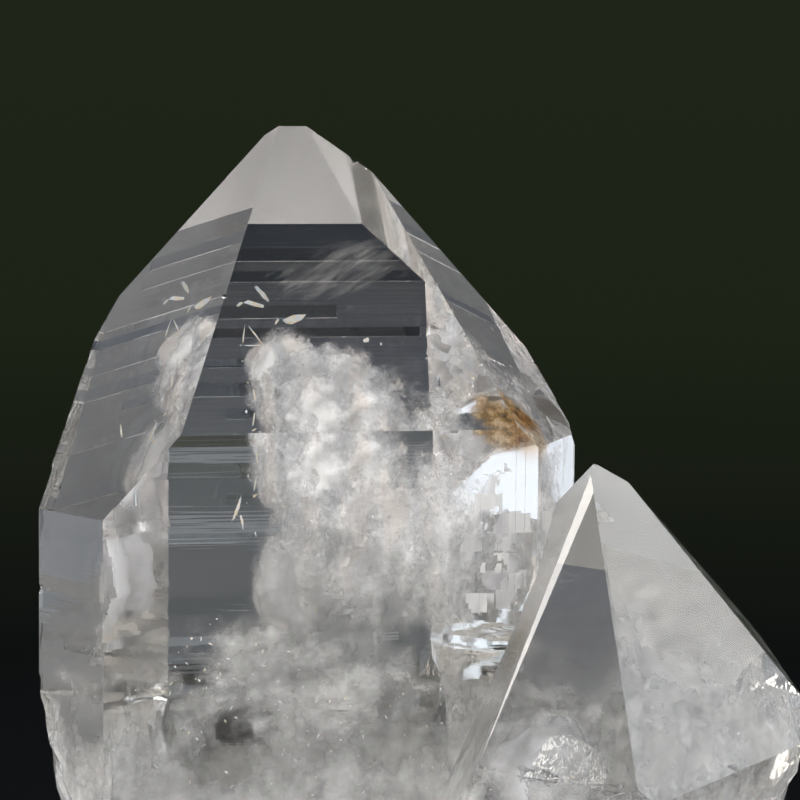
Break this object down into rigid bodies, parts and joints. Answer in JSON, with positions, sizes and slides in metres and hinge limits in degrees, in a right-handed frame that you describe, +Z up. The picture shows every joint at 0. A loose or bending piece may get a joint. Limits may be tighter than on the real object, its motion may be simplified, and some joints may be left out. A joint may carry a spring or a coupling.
{
  "type": "quartz cluster on stand",
  "caption": "Broad clear quartz crystal with a smaller one grown at its side, standing by its broken root in a low black wooden base.",
  "frame": {"origin": "middle of the stand's underside", "axes": "+Z up; the long side of the stand runs along X; the cluster's front, as pictured, faces -Y"},
  "size_m": [0.188, 0.122, 0.1763],
  "materials": {
    "quartz_cluster": "natural crystal faces, clear above and milky below",
    "stand": "satin black lacquer"
  },
  "bodies": {
    "root": {"quartz_cluster": "quartz_cluster", "stand": "stand"}
  },
  "joints": []
}
